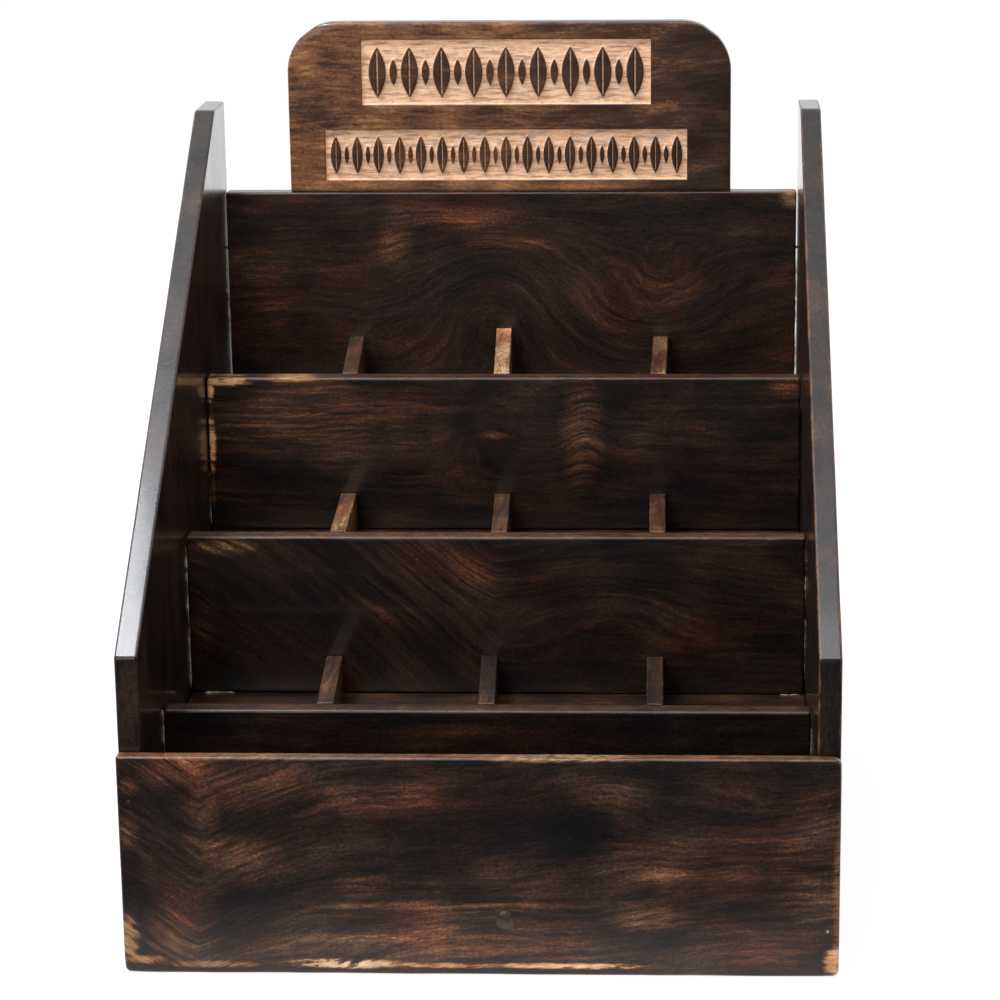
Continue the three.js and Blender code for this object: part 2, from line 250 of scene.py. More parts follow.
def woodFinish(name, box, axes, changes, slope=None):
    look = {**plainLook, **changes}
    material, g = newMaterial(name)
    place = g.places()
    low, high = box

    def measured(axis, sign):
        index = "xyz".index(axis)
        start = low[index] if sign > 0 else high[index]
        return (place[axis] - start) * (sign * perMetre)

    along = measured(*axes[0])
    across = measured(*axes[1])
    depth = measured(*axes[2])
    seed = look["seed"] * 17.3

    # the line that the fibres follow
    here = (along, across, depth)
    broad = g.layer(figure["broad"], here, (seed, 0, 0), 1.5)
    flow = across + (broad - 0.5) * (look["wander"] * 4)
    ripple = g.layer(figure["ripple"], here, (-seed, 0, 0))
    flow = flow + (ripple - 0.5) * look["ripple"]
    sway = (g.layer(figure["sway"], (across, depth, seed), (0, 0, 0)) - 0.5) * bendSway
    for start, height, reach, side in look["bends"]:
        past = (along - start + sway) * side
        soft = bendSoftness * reach
        past = ((past * past + soft * soft).root() + past - soft) * 0.5
        flow = flow + (1 - (past.most(0.0) / -reach).exp()) * height
    for eye in look["eyes"]:
        flow = flow + (-patch(along, across, (eye[0], eye[1], eye[3], eye[4]))).exp() * eye[2]

    heart = look["heart"]
    rise = flow - heart[0]
    sink = depth + along * heart[2] + heart[1]
    age = (rise * rise + sink * sink).root() / look["ringGap"]
    ring = (age + broad * 1.2).fraction()
    band = g.node("ShaderNodeValToRGB", {"stops": [
        (0.0, (0.75, 0.75, 0.75)), (0.45, (0.55, 0.55, 0.55)), (0.82, (0.12, 0.12, 0.12)),
        (0.93, (0.25, 0.25, 0.25)), (1.0, (0.75, 0.75, 0.75))]}, {0: ring})
    inGrain = (along, flow, depth)
    streak = g.layer(figure["streak"], inGrain, (seed, 0, 0), 5.0, 0.62)
    fleck = g.layer(figure["fleck"], inGrain, (seed, 0, -seed), 3.0, 0.6)
    fibre = g.layer(figure["fibre"], inGrain, (seed, 0, 0), 2.0, 0.6)
    grit = g.layer(figure["grit"], here, (seed, 0, 0), 3.0, 0.8)
    pores = ((g.layer(figure["pore"], inGrain, (-seed, 0, 0), 1.0) - poreShare) * 9).held()
    cloud = g.layer(figure["cloud"], inGrain, (-seed, seed, 0))
    tinge = g.layer(figure["tinge"], here, (seed * 2, 0, 0), 1.0)

    tone = (look["tone"] + (streak - 0.5) * look["streaks"] * 1.05 + (band - 0.45) * look["rings"]
            + (cloud - 0.5) * look["blotches"] * 2 + (fleck - 0.5) * look["flecks"] * 2
            + (fibre - 0.5) * look["fibre"] * 2 + (grit - 0.5) * look["mottling"] - pores * 0.10)
    for spot in look["glow"]:
        lit = (1 - patch(along, across, spot)).held()
        tone = tone + lit * ((streak - 0.5) * 1.6 + 0.7).held() * spot[4]

    # bare wood where hands and cloths have rubbed the edges, and on the top edges a painted sheen as well
    fromAlong = near(place, low, high, axes[0][0])
    fromAcross = near(place, low, high, axes[1][0])
    fromFace = near(place, low, high, axes[2][0])
    if slope:
        fromAcross = fromAcross.least((place["y"] - low[1]) * slope[0] + slope[1] - place["z"] * slope[2])
        edge = fromFace.most(fromAlong.least(fromAcross)) * perMetre
    else:
        edge = fromAlong.least(fromAcross).most(fromAlong.most(fromAcross).least(fromFace)) * perMetre
    scuff = g.layer(figure["scuff"], here, (-seed, 0, seed), 3.0, 0.6)
    worn = (((1 - edge / look["edgeWidth"]).held() * 1.15 + scuff * 1.35 - look["edgeWear"]) * 3.2).held()
    uneven = (fibre - 0.5) * 0.3 + (fleck - 0.5) * 0.35 + (streak - 0.5) * 0.35
    bare = look["edgeTone"] + uneven
    tone = tone + (bare - tone) * worn
    # the top faces are lightened partly as rubbed wear and partly as a painted sheen
    topWearAndSheen = ((1.1 - across) * 1.8).held() * ((scuff - 0.5) * 1.6 + look["top"][1]).held()
    if look["top"][1]:
        tone = tone + (look["top"][0] + uneven - tone) * topWearAndSheen
        # from here on the wear mask also holds the painted top sheen
        worn = worn.most(topWearAndSheen * 0.7)
    for spot in look["rubbed"]:
        bald = (1 - patch(along, across, spot)).held()
        ragged = (1 + (streak - 0.5) * 3.0 + (fleck - 0.5) * 2.6 + (scuff - 0.5) * 1.6).most(0.0)
        target = spot[4] - (1 - bald) * 0.20 + uneven
        bald = (bald * ragged * 1.5).held() * spot[5]
        tone = tone + (target - tone) * bald
        worn = worn.most(bald)

    colour = g.node("ShaderNodeValToRGB", {"stops": stain["stops"]}, {0: tone.held()})
    redness = ((tinge - look["redFrom"]) * 4).held()
    tint = g.blend(redness, stain["coolTint"], stain["redTint"])
    colour = g.blend(1 - worn * 0.6, colour, tint, "MULTIPLY")
    colour = g.blend(worn, colour, look["bareTint"], "MULTIPLY")
    # painted cool sheen on the top faces
    if look["top"][1]:
        colour = g.blend(topWearAndSheen, colour, stain["topTint"], "MULTIPLY")
    roughness = (stain["roughness"] + (streak - 0.5) * 0.16 + (cloud - 0.5) * 0.12 + pores * 0.15
                 + worn * 0.22 - look["gloss"]).held()
    height = fibre * 0.035 + streak * 0.05 - pores * 0.05 - worn * 0.05
    finishSurface(g, {
        "Base Color": colour, "Roughness": roughness, "Normal": g.bump(height, mm, grainDepth),
        "Coat Weight": (1 - worn * 0.85) * stain["coat"],
        "Coat Roughness": stain["coatRoughness"], "Specular IOR Level": stain["sheenLevel"],
    })
    return material


def near(place, low, high, axis):
    index = "xyz".index(axis)
    return (place[axis] - low[index]).least(high[index] - place[axis])


# Meshes. Boards are cut in millimetres as (u, v, w), w across the thickness, then turned to the rack's frame.
turns = {
    "facing": lambda p: np.stack((p[:, 0], p[:, 2], p[:, 1]), 1),
    "lying": lambda p: p,
    "side": lambda p: np.stack((p[:, 2], p[:, 0], p[:, 1]), 1),
}
arrisSteps = (0.423, 0.732, 1.0)  # cuts beside an edge that give even facets round it
cornerReach = 6.0                 # mm over which a knocked corner fades out
edgeSpread = {"least": 0.86, "more": 0.3, "patch": 26}      # of the radius, and mm
faceHollow = {"least": 0.03, "plain": 0.07, "patch": 48, "dimple": 0.03, "dimplePatch": 9}   # mm


def smoothNoise(points, size, seed):
    shift = Vector((seed * 7.3, seed * 3.1, seed * 5.7))
    return np.array([noise.noise(Vector(p) / size + shift) for p in points])


def addPiece(name, mesh, material, nodes=()):
    piece = bpy.data.objects.new(name, mesh)
    scene.collection.objects.link(piece)
    mesh.materials.append(material)
    mesh.shade_smooth()
    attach(piece, "root")
    if nodes:
        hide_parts(*nodes)
    return piece


def meshFrom(bm, name):
    mesh = bpy.data.meshes.new(name)
    bm.to_mesh(mesh)
    bm.free()
    return mesh


def skinRings(bm, rings):
    # walls between the rings and a cap on each end
    count = len(rings[0])
    for first, second in zip(rings, rings[1:]):
        for side in range(count):
            other = (side + 1) % count
            bm.faces.new((first[side], first[other], second[other], second[side]))
    bm.faces.new(rings[0][::-1])
    bm.faces.new(rings[-1])


def camelName(node):
    first, *rest = node.split("_")
    return first + "".join(word.capitalize() for word in rest)


def workedBoard(node, way, outline, thickness, size, material):
    # a prism whose edges are rubbed round and whose faces are slightly uneven
    low, high = thickness
    bm = bmesh.new()
    under = [bm.verts.new((u, v, low)) for u, v in outline]
    over = [bm.verts.new((u, v, high)) for u, v in outline]
    count = len(outline)
    bm.faces.new(under[::-1])
    bm.faces.new(over)
    for i in range(count):
        j = (i + 1) % count
        bm.faces.new((under[i], under[j], over[j], over[i]))

    def cut(point, normal):
        everything = bm.verts[:] + bm.edges[:] + bm.faces[:]
        bmesh.ops.bisect_plane(bm, geom=everything, dist=1e-4, plane_co=point, plane_no=normal)

    edges = []
    corners = size.get("corners", {})
    radii = sorted({size["round"], size.get("footRound", size["round"]), *corners.values()})
    for i in range(count):
        start = np.array(outline[i], float)
        step = np.array(outline[(i + 1) % count], float) - start
        inward = np.array((-step[1], step[0])) / np.linalg.norm(step)
        edges.append((start, inward))
        for radius in radii:
            for share in arrisSteps:
                at = start + inward * share * radius
                cut((*at, 0), (*inward, 0))
    for radius in radii:
        for share in arrisSteps:
            cut((0, 0, low + share * radius), (0, 0, 1))
            cut((0, 0, high - share * radius), (0, 0, 1))
    spread = np.array(outline, float)
    for axis in (0, 1):
        first, last = spread[:, axis].min(), spread[:, axis].max()
        cells = max(2, round((last - first) / size["cell"]))
        for k in range(1, cells):
            at = [0.0, 0.0, 0.0]
            at[axis] = first + (last - first) * k / cells
            cut(at, [float(axis == a) for a in range(3)])

    points = np.array([v.co[:] for v in bm.verts])
    radius = np.full(len(points), float(size["round"]))
    if "footRound" in size:
        above = (points[:, 1] - spread[:, 1].min()) / (2 * size["footRound"])
        fade = np.clip(2 - 2 * above, 0, 1)
        radius += (size["footRound"] - size["round"]) * fade * fade * (3 - 2 * fade)
    vary = smoothNoise(points, edgeSpread["patch"], size["seed"])
    radius *= edgeSpread["least"] + edgeSpread["more"] * vary
    for corner, wide in corners.items():
        at = (spread[:, 0].max() if "Right" in corner else spread[:, 0].min(),
              spread[:, 1].max() if "top" in corner else spread[:, 1].min())
        far = np.hypot(points[:, 0] - at[0], points[:, 1] - at[1])
        radius += np.maximum(wide - radius, 0) * np.exp(-(far / cornerReach) ** 2)
    inner = points.copy()
    for turn in range(3):
        for start, inward in edges:
            short = np.minimum((inner[:, :2] - start) @ inward - radius, 0)
            inner[:, :2] -= short[:, None] * inward
    inner[:, 2] = np.clip(points[:, 2], low + radius, high - radius)
    away = points - inner
    length = np.linalg.norm(away, axis=1)
    outward = away / length[:, None]
    swell = smoothNoise(points, faceHollow["patch"], size["seed"] + 3)
    hollow = faceHollow["plain"] + size["uneven"] * (0.5 + 0.5 * swell)
    hollow += faceHollow["dimple"] * smoothNoise(points, faceHollow["dimplePatch"], size["seed"] + 5)
    points = inner + outward * (radius - np.clip(hollow, faceHollow["least"], 1))[:, None]
    placed = turns[way](points) * mm
    for vertex, at in zip(bm.verts, placed):
        vertex.co = at
    bmesh.ops.recalc_face_normals(bm, faces=bm.faces[:])
    piece = addPiece(camelName(node), meshFrom(bm, camelName(node)), material, [node])
    piece.modifiers.new("evenShading", "WEIGHTED_NORMAL")
    return piece


def rectangle(low, high, axes):
    (u0, v0), (u1, v1) = ([corner[a] * perMetre for a in axes] for corner in (low, high))
    return [(u0, v0), (u1, v0), (u1, v1), (u0, v1)]


wayAxes = {"facing": ((0, 2), 1), "lying": ((0, 1), 2), "side": ((1, 2), 0)}
grainAxes = {
    "facing": (("x", 1), ("z", -1), ("y", 1)),
    "lying": (("x", 1), ("y", 1), ("z", -1)),
    "side": (("z", 1), ("y", 1), ("x", 1)),
}


def squareBoard(node, way, size, look):
    low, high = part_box(node)
    axes, across = wayAxes[way]
    material = woodFinish(camelName(node) + "Wood", (low, high), grainAxes[way], look)
    thickness = (low[across] * perMetre, high[across] * perMetre)
    return workedBoard(node, way, rectangle(low, high, axes), thickness, size, material)


# Front board: figured with a fork of grain low on the left, rubbed bare along the foot and the right end.
frontBoard = {
    "size": {"round": 1.5, "footRound": 2.4, "cell": 9.0, "uneven": 0.12, "seed": 2,
             "corners": {"topRight": 3.6, "footRight": 3.4, "footLeft": 3.0}},
    "look": {
        "seed": 2.0, "tone": 0.31, "streaks": 0.44, "rings": 0.04, "blotches": 0.34, "wander": 4.0,
        "bends": [(39, 60, 56, -1), (39, 30, 46, 1), (236, 14, 60, 1)],
        "eyes": [(110, 122, -12, 40, 20), (240, 26, 12, 24, 28), (330, 30, -8, 40, 30)],
        "glow": [(130, 21, 34, 12, 0.24), (70, 16, 44, 16, 0.18), (30, 5, 22, 12, 0.26),
                 (42, 38, 12, 24, 0.22), (62, 50, 22, 12, 0.16), (30, 92, 22, 24, 0.36),
                 (6, 16, 7, 6, 0.34), (5, 38, 7, 14, 0.26), (121, 67, 16, 8, 0.28),
                 (140, 78, 60, 3, 0.20), (112, 96, 34, 4, 0.22), (170, 88, 80, 26, 0.14),
                 (264, 84, 26, 11, 0.46), (246, 18, 26, 12, 0.20), (272, 62, 24, 5, 0.12),
                 (290, 56, 60, 22, 0.14), (200, 54, 24, 5, 0.12), (208, 78, 40, 3, 0.20),
                 (150, 104, 170, 12, 0.16), (186, 98, 60, 16, 0.10), (320, 98, 40, 14, 0.18),
                 (345, 60, 22, 50, 0.20), (27, 20, 13, 9, -0.16), (52, 74, 24, 11, -0.16),
                 (190, 38, 64, 28, -0.14), (226, 34, 24, 26, -0.08), (5, 62, 10, 12, -0.10)],
        "rubbed": [(112, 109.6, 38, 3.4, 0.93, 1.0), (44, 110.4, 30, 2.4, 0.80, 0.9),
                   (165, 110.2, 32, 2.0, 0.90, 0.9), (226, 110.2, 50, 2.2, 0.90, 1.0),
                   (2, 97, 8, 16, 0.84, 0.85), (26, 99, 9, 13, 0.60, 0.7), (10, 108, 14, 3, 0.80, 0.9),
                   (360, 78, 5.0, 54, 0.70, 0.9), (358, 107, 8.0, 9, 0.92, 0.9),
                   (324, 104, 22, 9, 0.66, 0.7), (222, 0.4, 52, 2.0, 0.76, 0.9),
                   (60, 0.4, 70, 1.8, 0.70, 0.6)],
        "edgeWidth": 2.4, "edgeWear": 1.36, "edgeTone": 0.60, "top": (0.66, 0.9),
    },
}
squareBoard("front_board", "facing", frontBoard["size"], frontBoard["look"])
print("front board done")

# Risers: the board at the front of each tier, its top edge a lip.
riserSize = {"round": 2.0, "cell": 9.0, "uneven": 0.10, "seed": 3}
risers = {
    "front": {
        "seed": 3.0, "tone": 0.22, "streaks": 0.26, "top": (0.50, 0.8),
        "glow": [(140, 14, 60, 8, 0.14)],
    },
    "middle": {
        "seed": 4.0, "tone": 0.25, "streaks": 0.40, "rings": 0.10, "wander": 6.0, "ringGap": 7.0,
        "top": (0.56, 0.9),
        "bends": [(168, 170, 130, -1)],
        "eyes": [(230, 40, 14, 40, 24)],
        "glow": [(20, 6, 22, 6, 0.60), (130, 26, 44, 34, 0.18), (9, 44, 10, 22, 0.20),
                 (160, 22, 20, 30, 0.12), (300, 40, 60, 40, 0.08), (30, 32, 22, 20, -0.08)],
    },
    "rear": {
        "seed": 5.0, "tone": 0.27, "streaks": 0.46, "wander": 3.5, "top": (0.50, 0.8),
        "eyes": [(151, 38, 16, 14, 14), (214, 34, 8, 12, 26)],
        "glow": [(212, 32, 15, 38, 0.38), (60, 24, 84, 28, 0.34), (163, 33.5, 14, 3, 0.44),
                 (328, 5, 14, 8, 0.36), (255, 30, 44, 20, 0.14), (146, 3, 8, 4, 0.22),
                 (145, 26, 11, 6, -0.14), (153, 48, 14, 8, -0.16)],
        "rubbed": [(1.6, 37, 3.4, 22, 1.00, 1.0), (1.6, 7, 3.4, 9, 0.96, 1.0),
                   (12, 2.4, 17, 3.4, 0.94, 1.0), (30, 28, 44, 1.8, 0.66, 0.9),
                   (48, 1.0, 18, 2.2, 0.80, 0.9), (18, 22, 34, 1.5, 0.56, 0.7),
                   (1.4, 66, 2.2, 12, 0.66, 0.7)],
        "bareTint": (1.0, 0.86, 0.60, 1),
    },
}
for tier, look in risers.items():
    squareBoard("riser_" + tier, "facing", {**riserSize, "seed": look["seed"]}, look)
print("risers done")

# Back panel: a big swirl left of the middle.
backPanel = {
    "size": {"round": 1.6, "cell": 10.0, "uneven": 0.12, "seed": 6},
    "look": {
        "seed": 6.0, "tone": 0.32, "streaks": 0.38, "rings": 0.08, "ringGap": 8.0, "wander": 7.0,
        "ripple": 5.0, "top": (0.5, 0.7),
        "eyes": [(158, 66, 46, 40, 36), (250, 70, -26, 50, 30)],
        "glow": [(100, 30, 12, 26, 0.22), (136, 16, 34, 8, 0.24), (165, 30, 30, 14, 0.16),
                 (240, 60, 50, 26, 0.16), (332, 4, 9, 7, 0.50), (20, 64, 24, 34, 0.14)],
        "rubbed": [(331, 2, 6, 5, 0.74, 0.9)],
    },
}
squareBoard("back_panel", "facing", backPanel["size"], backPanel["look"])

treadSize = {"round": 0.8, "cell": 10.0, "uneven": 0.10, "seed": 7}
for index, tier in enumerate(("front", "middle", "rear")):
    look = {"seed": 7.0 + index, "tone": 0.37, "streaks": 0.26, "edgeWear": 1.6, "redFrom": 0.6}
    squareBoard("tread_" + tier, "lying", {**treadSize, "seed": 7 + index}, look)
baseLook = {"seed": 11.0, "tone": 0.26, "edgeWear": 1.7}
squareBoard("base_board", "lying", {**treadSize, "round": 1.0}, baseLook)
print("back panel, treads and base done")

# Sides: upright boards with the front cut back in one long slope.
sideSize = {"round": 1.7, "cell": 10.0, "uneven": 0.14, "seed": 12}
sideCut = {"frontHeight": 164.5, "flatTop": 39.0}
for index, place in enumerate(("left", "right")):
    node = "side_" + place
    low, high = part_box(node)
    front, back, foot, top = (value * perMetre for value in (low.y, high.y, low.z, high.z))
    outline = [(front, foot), (back, foot), (back, top), (back - sideCut["flatTop"], top),
               (front, foot + sideCut["frontHeight"])]
    run = back - sideCut["flatTop"] - front
    climb = top - foot - sideCut["frontHeight"]
    slant = math.hypot(run, climb)
    slope = (climb / slant, sideCut["frontHeight"] * run / slant * mm, run / slant)
    look = {"seed": 12.0 + index, "tone": 0.29, "streaks": 0.34, "edgeWidth": 2.8, "edgeTone": 0.60,
            "edgeWear": (1.62, 1.28)[index], "redFrom": 0.9}
    material = woodFinish(camelName(node) + "Wood", (low, high), grainAxes["side"], look, slope)
    size = {**sideSize, "seed": 12 + index}
    workedBoard(node, "side", outline, (low.x * perMetre, high.x * perMetre), size, material)
print("sides done")

# Dividers: thin rougher strips, some nearly bare along the top.
dividerLooks = {
    "front_left": (0.48, 0.40), "front_center": (0.38, 0.20), "front_right": (0.40, 0.40),
    "middle_left": (0.62, 0.40), "middle_center": (0.48, 0.50), "middle_right": (0.43, 0.30),
    "rear_left": (0.47, 0.40), "rear_center": (0.80, 0.20), "rear_right": (0.62, 0.40),
}
dividerSize = {"round": 0.8, "segments": 3, "cell": 6.0, "uneven": 0.16}


def dividerStrip(node, look, seed):
    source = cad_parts[node].data
    bm = bmesh.new()
    bm.from_mesh(source)
    bmesh.ops.remove_doubles(bm, verts=bm.verts[:], dist=1e-5)
    bmesh.ops.dissolve_limit(bm, angle_limit=math.radians(2), verts=bm.verts[:], edges=bm.edges[:])
    low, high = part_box(node)
    bmesh.ops.bevel(bm, geom=bm.edges[:], offset=dividerSize["round"] * mm,
                    segments=dividerSize["segments"], profile=0.5, affect="EDGES")
    cells = round((high.y - low.y) * perMetre / dividerSize["cell"])
    for k in range(1, cells):
        at = Vector((0, low.y + (high.y - low.y) * k / cells, 0))
        everything = bm.verts[:] + bm.edges[:] + bm.faces[:]
        bmesh.ops.bisect_plane(bm, geom=everything, dist=1e-6, plane_co=at, plane_no=(0, 1, 0))
    bm.normal_update()
    points = [v.co * perMetre for v in bm.verts]
    hollow = 0.5 + 0.5 * smoothNoise(points, 11, seed)
    for vertex, share in zip(bm.verts, hollow):
        vertex.co -= vertex.normal * share * dividerSize["uneven"] * mm
    mesh = meshFrom(bm, camelName(node))
    axes = (("y", 1), ("x", 1), ("z", -1))
    material = woodFinish(camelName(node) + "Wood", (low, high), axes, look)
    piece = addPiece(camelName(node), mesh, material, [node])
    piece.modifiers.new("evenShading", "WEIGHTED_NORMAL")


for index, (place, (tone, streaks)) in enumerate(dividerLooks.items()):
    dividerStrip("divider_" + place, {
        "seed": 20.0 + index, "tone": tone, "streaks": streaks, "blotches": 0.35, "wander": 1.5,
        "edgeWidth": 1.6, "edgeWear": 1.30, "edgeTone": max(0.60, tone), "gloss": -0.15, "redFrom": 0.54,
    }, 20 + index)
print("dividers done")

# Header board: two sunk fields with rows of leaves left standing.
header = {
    "shoulder": 29.0,
    "round": 2.0,
    "sunk": 2.0,
    "wall": 0.7,
    "fine": 0.5,
    "coarse": 6.0,
    "edgeSteps": (0.08, 0.3, 0.65, 1.0),      # of the rounding
    "leastStep": 0.12,
    "uneven": 0.10,
    "chatter": 0.16,                          # left by the cutter in the sunk ground
    "backEdge": ((2.0, 0.0), (0.8, 0.35), (0.07, 1.9)),    # (before the back, inward)
    "fields": [
        {"x": -1.6, "z": 408.8, "width": 168.6, "height": 38.2, "leaves": 9,
         "tall": (11.0, 31.0), "short": (5.4, 17.0), "rib": 1.0},
        {"x": -2.1, "z": 360.6, "width": 211.8, "height": 30.0, "leaves": 17,
         "tall": (7.2, 24.0), "short": (3.6, 13.0), "rib": 0.7},
    ],
}


def leafDistance(x, z, width, height):
    # roughly how far inside a pointed oval a point lies, negative outside
    half = width / 2
    reach = height / 2
    t = np.clip(z / reach, -1.3, 1.3)
    lean = np.sqrt(1 + (2 * half * t / reach) ** 2)
    return (half * (1 - t * t) - np.abs(x)) / lean


def easeIn(value):
    value = np.clip(value, 0, 1)
    return value * value * (3 - 2 * value)


def carvedDepth(x, z):
    # depth of the carving below the board's face, in millimetres
    depth = np.zeros_like(x)
    for field in header["fields"]:
        fx, fz = x - field["x"], z - field["z"]
        inside = np.minimum(field["width"] / 2 - np.abs(fx), field["height"] / 2 - np.abs(fz))
        sunk = easeIn(inside / header["wall"]) * header["sunk"]
        pitch = field["width"] / field["leaves"]
        place = (fx + field["width"] / 2) % pitch - pitch / 2
        between = (fx + field["width"] / 2 + pitch / 2) % pitch - pitch / 2
        tall = leafDistance(place, fz, *field["tall"])
        clear = np.abs(fx) < field["width"] / 2 - pitch / 2
        short = np.where(clear, leafDistance(between, fz, *field["short"]), -1)
        standing = easeIn(np.maximum(tall, short) / header["wall"])
        rib = easeIn(1 - np.abs(place) / field["rib"]) * easeIn(tall / 1.6 - 0.2)
        depth = np.maximum(depth, sunk * (1 - standing * (1 - 0.5 * rib)))
    return depth


def gridLines(first, last, spans):
    # fine steps inside the spans and coarse ones outside, closer beside both ends
    lines = [first, last]
    for share in header["edgeSteps"]:
        lines += [first + share * header["round"], last - share * header["round"]]
    inside = lambda value: any(a - 1 <= value <= b + 1 for a, b in spans)
    value = first + header["round"]
    while value < last - header["round"]:
        lines.append(value)
        value += header["fine"] if inside(value + header["fine"]) else header["coarse"]
        for a, b in spans:
            if lines[-1] < a - 1 < value:
                value = a - 1
    lines = sorted(set(round(line, 4) for line in lines))
    kept = [lines[0]]
    for line in lines[1:]:
        if line - kept[-1] > header["leastStep"]:
            kept.append(line)
    kept[-1] = last
    return np.array(kept)


def headerMesh(low, high):
    left, right = low.x * perMetre, high.x * perMetre
    foot, top = low.z * perMetre, high.z * perMetre
    face, back = low.y * perMetre, high.y * perMetre
    half = (right - left) / 2
    spansX = [(f["x"] - f["width"] / 2, f["x"] + f["width"] / 2) for f in header["fields"]]
    spansZ = [(f["z"] - f["height"] / 2, f["z"] + f["height"] / 2) for f in header["fields"]]
    us = gridLines(left, right, spansX)
    vs = gridLines(foot, top, spansZ)
    u, v = np.meshgrid(us, vs)
    centreZ = top - header["shoulder"]
    above = np.clip(v - centreZ, 0, header["shoulder"])
    width = half - header["shoulder"] + np.sqrt(header["shoulder"] ** 2 - above ** 2)
    x = u * width / half
    # distance in from the outline, measured round the shoulders too
    overX = np.maximum(np.abs(x) - (half - header["shoulder"]), 0)
    arc = header["shoulder"] - np.hypot(overX, np.maximum(v - centreZ, 0))
    inset = np.where((overX > 0) & (v > centreZ), arc, np.minimum(half - np.abs(x), top - v))
    inset = np.clip(np.minimum(inset, v - foot), 0, header["round"])
    rim = header["round"] - np.sqrt(header["round"] ** 2 - (header["round"] - inset) ** 2)
    flat = np.stack((x.ravel(), np.zeros(x.size), v.ravel()), 1)
    rough = header["uneven"] * (0.5 + 0.5 * smoothNoise(flat, 40, 31)) + 0.04
    carved = carvedDepth(x, v)
    chatter = smoothNoise(flat * (0.12, 1, 1.4), 1.6, 33).reshape(x.shape)
    chatter = header["chatter"] * chatter * easeIn(carved - 0.8)
    y = face + rim + rough.reshape(x.shape) + carved + chatter
    verts = np.stack((x.ravel(), y.ravel(), v.ravel()), 1)
    rows, columns = x.shape
    index = np.arange(x.size).reshape(rows, columns)
    quads = np.stack((index[:-1, :-1], index[:-1, 1:], index[1:, 1:], index[1:, :-1]), -1).reshape(-1, 4)
    loop = list(index[0]) + list(index[1:, -1]) + list(index[-1, -2::-1]) + list(index[-2:0:-1, 0])
    faces = quads.tolist()
    rim = verts[loop]
    middle = np.array((0.0, 0.0, (foot + top) / 2))
    previous = loop
    for before, inward in header["backEdge"]:
        ring = rim.copy()
        ring[:, 1] = back - before
        toMiddle = middle - ring
        toMiddle[:, 1] = 0
        ring += toMiddle / np.linalg.norm(toMiddle, axis=1)[:, None] * inward
        start = len(verts)
        verts = np.concatenate((verts, ring))
        new = list(range(start, start + len(ring)))
        for i in range(len(new)):
            j = (i + 1) % len(new)
            faces.append((previous[i], new[i], new[j], previous[j]))
        previous = new
    faces.append(previous)
    mesh = bpy.data.meshes.new("headerBoard")
    mesh.from_pydata([tuple(p) for p in verts * mm], [], faces)
    mesh.validate()
    bm = bmesh.new()
    bm.from_mesh(mesh)
    bmesh.ops.recalc_face_normals(bm, faces=bm.faces[:])
    bm.to_mesh(mesh)
    bm.free()
    return mesh


headerFigure = {         # mm, as in figure
    "broad": (80, 30, 40), "streak": (28, 2.8, 4), "grit": (2.2, 1.8, 2), "fleck": (6, 1.1, 2),
    "fibre": (9, 0.5, 0.6), "pore": (2.4, 0.32, 0.4), "cloud": (34, 15, 30), "plough": (7, 0.9, 3),
    "burnt": (16, 2.0, 8), "speck": (2.2, 1.8, 4),
}
headerStain = {
    "stops": [
        (0.00, (0.018, 0.010, 0.007)),
        (0.28, (0.055, 0.023, 0.012)),
        (0.50, (0.175, 0.071, 0.028)),
        (0.70, (0.340, 0.158, 0.060)),
        (1.00, (0.540, 0.310, 0.150)),
    ],
    "tone": 0.42,
    "leafTone": -0.15,
    "rawLight": (0.86, 0.56, 0.37, 1),
    "rawDark": (0.62, 0.36, 0.22, 1),
    "burnt": (0.24, 0.115, 0.065, 1),
    "speck": (0.30, 0.15, 0.085, 1),
    "rightShade": 0.34,
    "wander": 14,
    "footGlow": 96,      # mm below the top
    "coat": 0.30,
}


